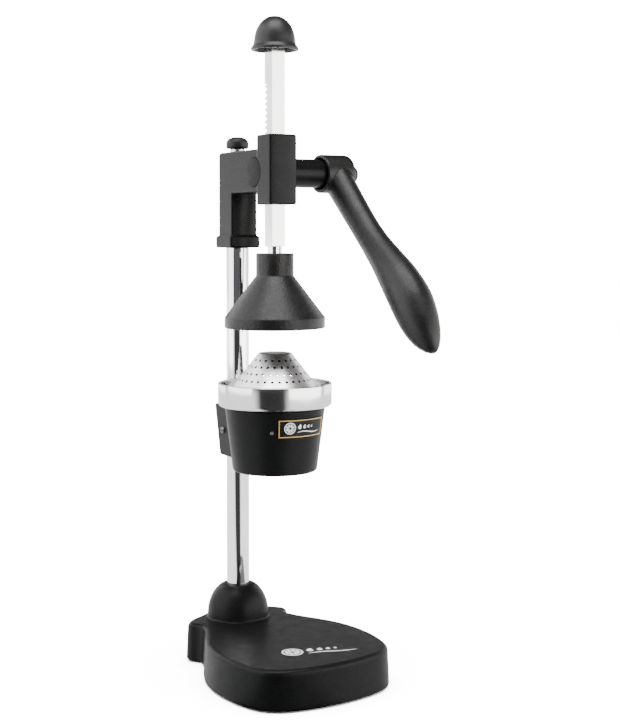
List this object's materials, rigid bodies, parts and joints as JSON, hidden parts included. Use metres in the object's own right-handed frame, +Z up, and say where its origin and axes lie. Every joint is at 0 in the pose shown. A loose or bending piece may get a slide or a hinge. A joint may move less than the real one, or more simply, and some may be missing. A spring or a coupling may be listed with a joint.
{
  "type": "citrus press juicer",
  "caption": "Hand lever citrus press: rack-and-pinion head on a chromed column, presser cone, perforated strainer cone in a tapered bowl, heavy base.",
  "frame": {"origin": "on the table, below the middle of the whole press with its lever forward and down", "axes": "+Z up, +X towards the lever's side, -Y towards the front, where the cup is put in"},
  "size_m": [0.153, 0.216, 0.531],
  "materials": {
    "black_enamel_iron": "satin black enamel on an iron casting",
    "black_enamel_alloy": "satin black enamel on a die casting",
    "black_textured_alloy": "fine pebbled black enamel on a die casting",
    "black_plastic": "satin moulded",
    "black_coated_steel": "satin black",
    "chromed_tube": "polished chrome",
    "polished_ring": "polished, fine turning marks",
    "stainless_sheet": "bright stainless sheet, pierced",
    "nickel_bar": "bright nickel plate",
    "steel_parts": "zinc plated",
    "bronze_bush": "machined",
    "foot_rubber": "matte",
    "badge_face": "thin printed plate with a gold border"
  },
  "bodies": {
    "frame": {"base_casting": "black_enamel_iron", "foot_front_left": "foot_rubber", "foot_front_right": "foot_rubber", "foot_rear_left": "foot_rubber", "foot_rear_right": "foot_rubber", "column_tube": "chromed_tube", "tube_bottom_plug": "steel_parts", "tube_top_plug": "steel_parts", "base_bolt": "steel_parts", "base_washer": "steel_parts", "head_casting": "black_enamel_alloy", "pinion_plug": "black_enamel_alloy", "bush_inner": "bronze_bush", "bush_outer": "bronze_bush", "brake_pad": "bronze_bush", "brake_screw": "steel_parts", "knob_washer": "steel_parts"},
    "lever": {"lever_arm": "black_textured_alloy", "pinion_shaft": "steel_parts", "shaft_cap_nut": "black_coated_steel", "thrust_washer": "steel_parts", "lever_grub_screw": "steel_parts"},
    "ram": {"rack_bar": "nickel_bar", "rack_cap": "black_plastic", "presser_cone": "black_textured_alloy", "presser_washer": "steel_parts", "presser_bolt": "steel_parts"},
    "bowl": {"juice_bowl": "black_enamel_alloy", "collar_ring": "polished_ring", "strainer_cone": "stainless_sheet", "clamp_screw": "steel_parts", "bowl_rivet": "steel_parts", "badge_plate": "badge_face"},
    "knob": {"head_knob": "black_plastic", "knob_stud": "steel_parts"}
  },
  "joints": [
    {"name": "lever_turn", "type": "hinge", "parent": "frame", "child": "lever", "pos_m": [0, 0.0269, 0.4065], "axis": [1, 0, 0], "range_deg": [0, 292.8]},
    {"name": "rack_slide", "type": "slide", "parent": "frame", "child": "ram", "axis": [0, 0, -1], "range_m": [0, 0.046]},
    {"name": "bowl_height", "type": "slide", "parent": "frame", "child": "bowl", "axis": [0, 0, 1], "range_m": [-0.06, 0]},
    {"name": "knob_turn", "type": "hinge", "parent": "frame", "child": "knob", "pos_m": [-0.0103, 0.0774, 0.43], "axis": [0, 0, 1], "continuous": true}
  ],
  "couplings": [
    {"joint": "rack_slide", "follows": "lever_turn", "m_per_rad": 0.009}
  ]
}
